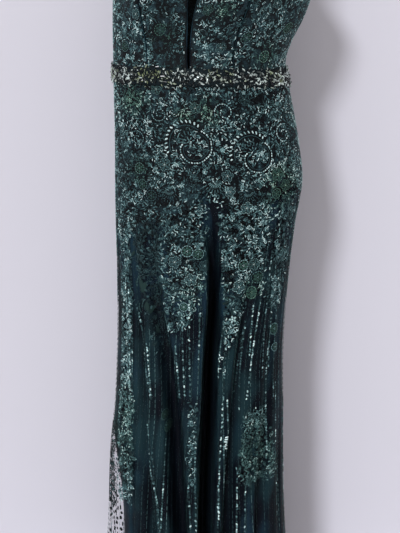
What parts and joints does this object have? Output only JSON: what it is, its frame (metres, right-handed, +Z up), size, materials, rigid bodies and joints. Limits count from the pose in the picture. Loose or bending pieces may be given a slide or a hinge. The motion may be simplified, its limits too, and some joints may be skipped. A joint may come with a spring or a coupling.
{
  "type": "evening gown",
  "caption": "Floor-length evening gown with wide shoulder straps, a plunging front, a beaded waist belt and an embroidered net skirt over a dark lining, filled out as worn.",
  "frame": {"origin": "midway between the undersides of the two shoulder straps, where the wearer's shoulders hold the gown up", "axes": "+Z up along the gown, -Y out of the front, +X towards the wearer's left"},
  "size_m": [0.4203, 0.3279, 1.4602],
  "materials": {
    "bodice_lace": "dark teal embroidery with small sequins, worked closely over a lined net bodice",
    "embroidered_net": "dark teal net with metallic floral and scroll embroidery, hanging sprays and strings of sequins",
    "lining_satin": "very dark teal satin",
    "beaded_trim": "silver, clear and olive beads and stones on a ribbon",
    "zip_ribbon": "dark woven tape",
    "zip_metal": "dark teal lacquer"
  },
  "bodies": {
    "gown": {"bodice_centre_front_right": "bodice_lace", "bodice_centre_front_left": "bodice_lace", "bodice_side_front_right": "bodice_lace", "bodice_side_front_left": "bodice_lace", "bodice_side_back_right": "bodice_lace", "bodice_side_back_left": "bodice_lace", "bodice_centre_back_right": "bodice_lace", "bodice_centre_back_left": "bodice_lace", "strap_right": "bodice_lace", "strap_left": "bodice_lace", "waist_belt": "beaded_trim", "skirt_net_front_left": "embroidered_net", "skirt_net_front_right": "embroidered_net", "skirt_net_back_left": "embroidered_net", "skirt_net_back_right": "embroidered_net", "skirt_lining_front": "lining_satin", "skirt_lining_back_left": "lining_satin", "skirt_lining_back_right": "lining_satin", "zip_tape": "zip_ribbon", "zip_slider": "zip_metal"},
    "zip_pull": {"zip_pull": "zip_metal"}
  },
  "joints": [
    {"name": "zip_pull_swing", "type": "hinge", "parent": "gown", "child": "zip_pull", "pos_m": [0.02903, 0.10734, -0.2], "axis": [0.9963, -0.0856, 0], "range_deg": [-8, 170]}
  ]
}
